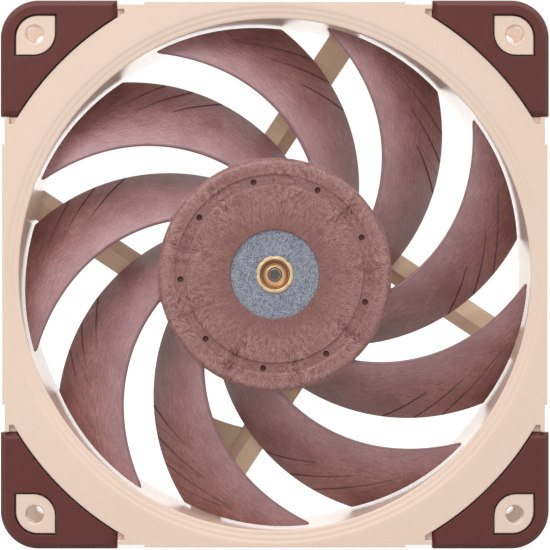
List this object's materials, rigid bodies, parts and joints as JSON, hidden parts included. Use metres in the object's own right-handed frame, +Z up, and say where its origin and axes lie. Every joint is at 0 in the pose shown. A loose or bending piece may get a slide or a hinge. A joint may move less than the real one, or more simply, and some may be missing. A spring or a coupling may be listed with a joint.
{
  "type": "case fan",
  "caption": "Axial computer case fan: square frame with a stepped round inlet, rubber corner pads, and a rotor of swept blades on a sleeve-bearing motor.",
  "frame": {"origin": "on the rotor's axis, half way between the front and rear mounting faces, which is the centre of the box", "axes": "+Z up and +X right as the fan stands upright; the intake faces -Y and the air leaves towards +Y, along the rotor's axis"},
  "size_m": [0.12, 0.025, 0.12],
  "materials": {
    "frame_plastic": "beige moulded plastic, fine satin",
    "pad_rubber": "dark red-brown rubber",
    "impeller_plastic": "red-brown fibre-filled plastic, streaked, satin",
    "yoke_steel": "speckled grey steel",
    "turned_brass": "turned brass",
    "shaft_steel": "ground steel",
    "clip_plastic": "white slippery plastic",
    "magnet": "dark grey bonded ferrite",
    "sintered_bronze": "sintered, oil-soaked",
    "lamination_steel": "stacked electrical steel",
    "insulator_plastic": "cream insulator moulding",
    "copper_wire": "enamelled copper wire",
    "tinned_metal": "tinned",
    "board_laminate": "green board with solder mask",
    "chip_epoxy": "black moulded epoxy",
    "capacitor_ceramic": "tan ceramic",
    "resistor_ceramic": "black film on ceramic",
    "label_film": "blank satin film"
  },
  "bodies": {
    "stator": {"frame": "frame_plastic", "pad_front_top_right": "pad_rubber", "pad_front_top_left": "pad_rubber", "pad_front_bottom_left": "pad_rubber", "pad_front_bottom_right": "pad_rubber", "pad_rear_top_right": "pad_rubber", "pad_rear_top_left": "pad_rubber", "pad_rear_bottom_left": "pad_rubber", "pad_rear_bottom_right": "pad_rubber", "bearing_shell": "turned_brass", "bearing_sleeve": "sintered_bronze", "oil_seal_ring": "clip_plastic", "stabilising_magnet": "magnet", "thrust_plate": "clip_plastic", "stator_core": "lamination_steel", "front_insulator": "insulator_plastic", "rear_insulator": "insulator_plastic", "stator_coils": "copper_wire", "winding_pins": "tinned_metal", "circuit_board": "board_laminate", "driver_chip": "chip_epoxy", "hall_sensor": "chip_epoxy", "capacitors": "capacitor_ceramic", "resistors": "resistor_ceramic", "wire_pads": "tinned_metal", "rear_label": "label_film"},
    "rotor": {"impeller": "impeller_plastic", "rotor_yoke": "yoke_steel", "rotor_magnet": "magnet", "shaft_boss": "turned_brass", "shaft": "shaft_steel", "retaining_clip": "clip_plastic"}
  },
  "joints": [
    {"name": "rotor_spin", "type": "hinge", "parent": "stator", "child": "rotor", "pos_m": [0, 0, 0], "axis": [0, -1, 0], "continuous": true}
  ]
}
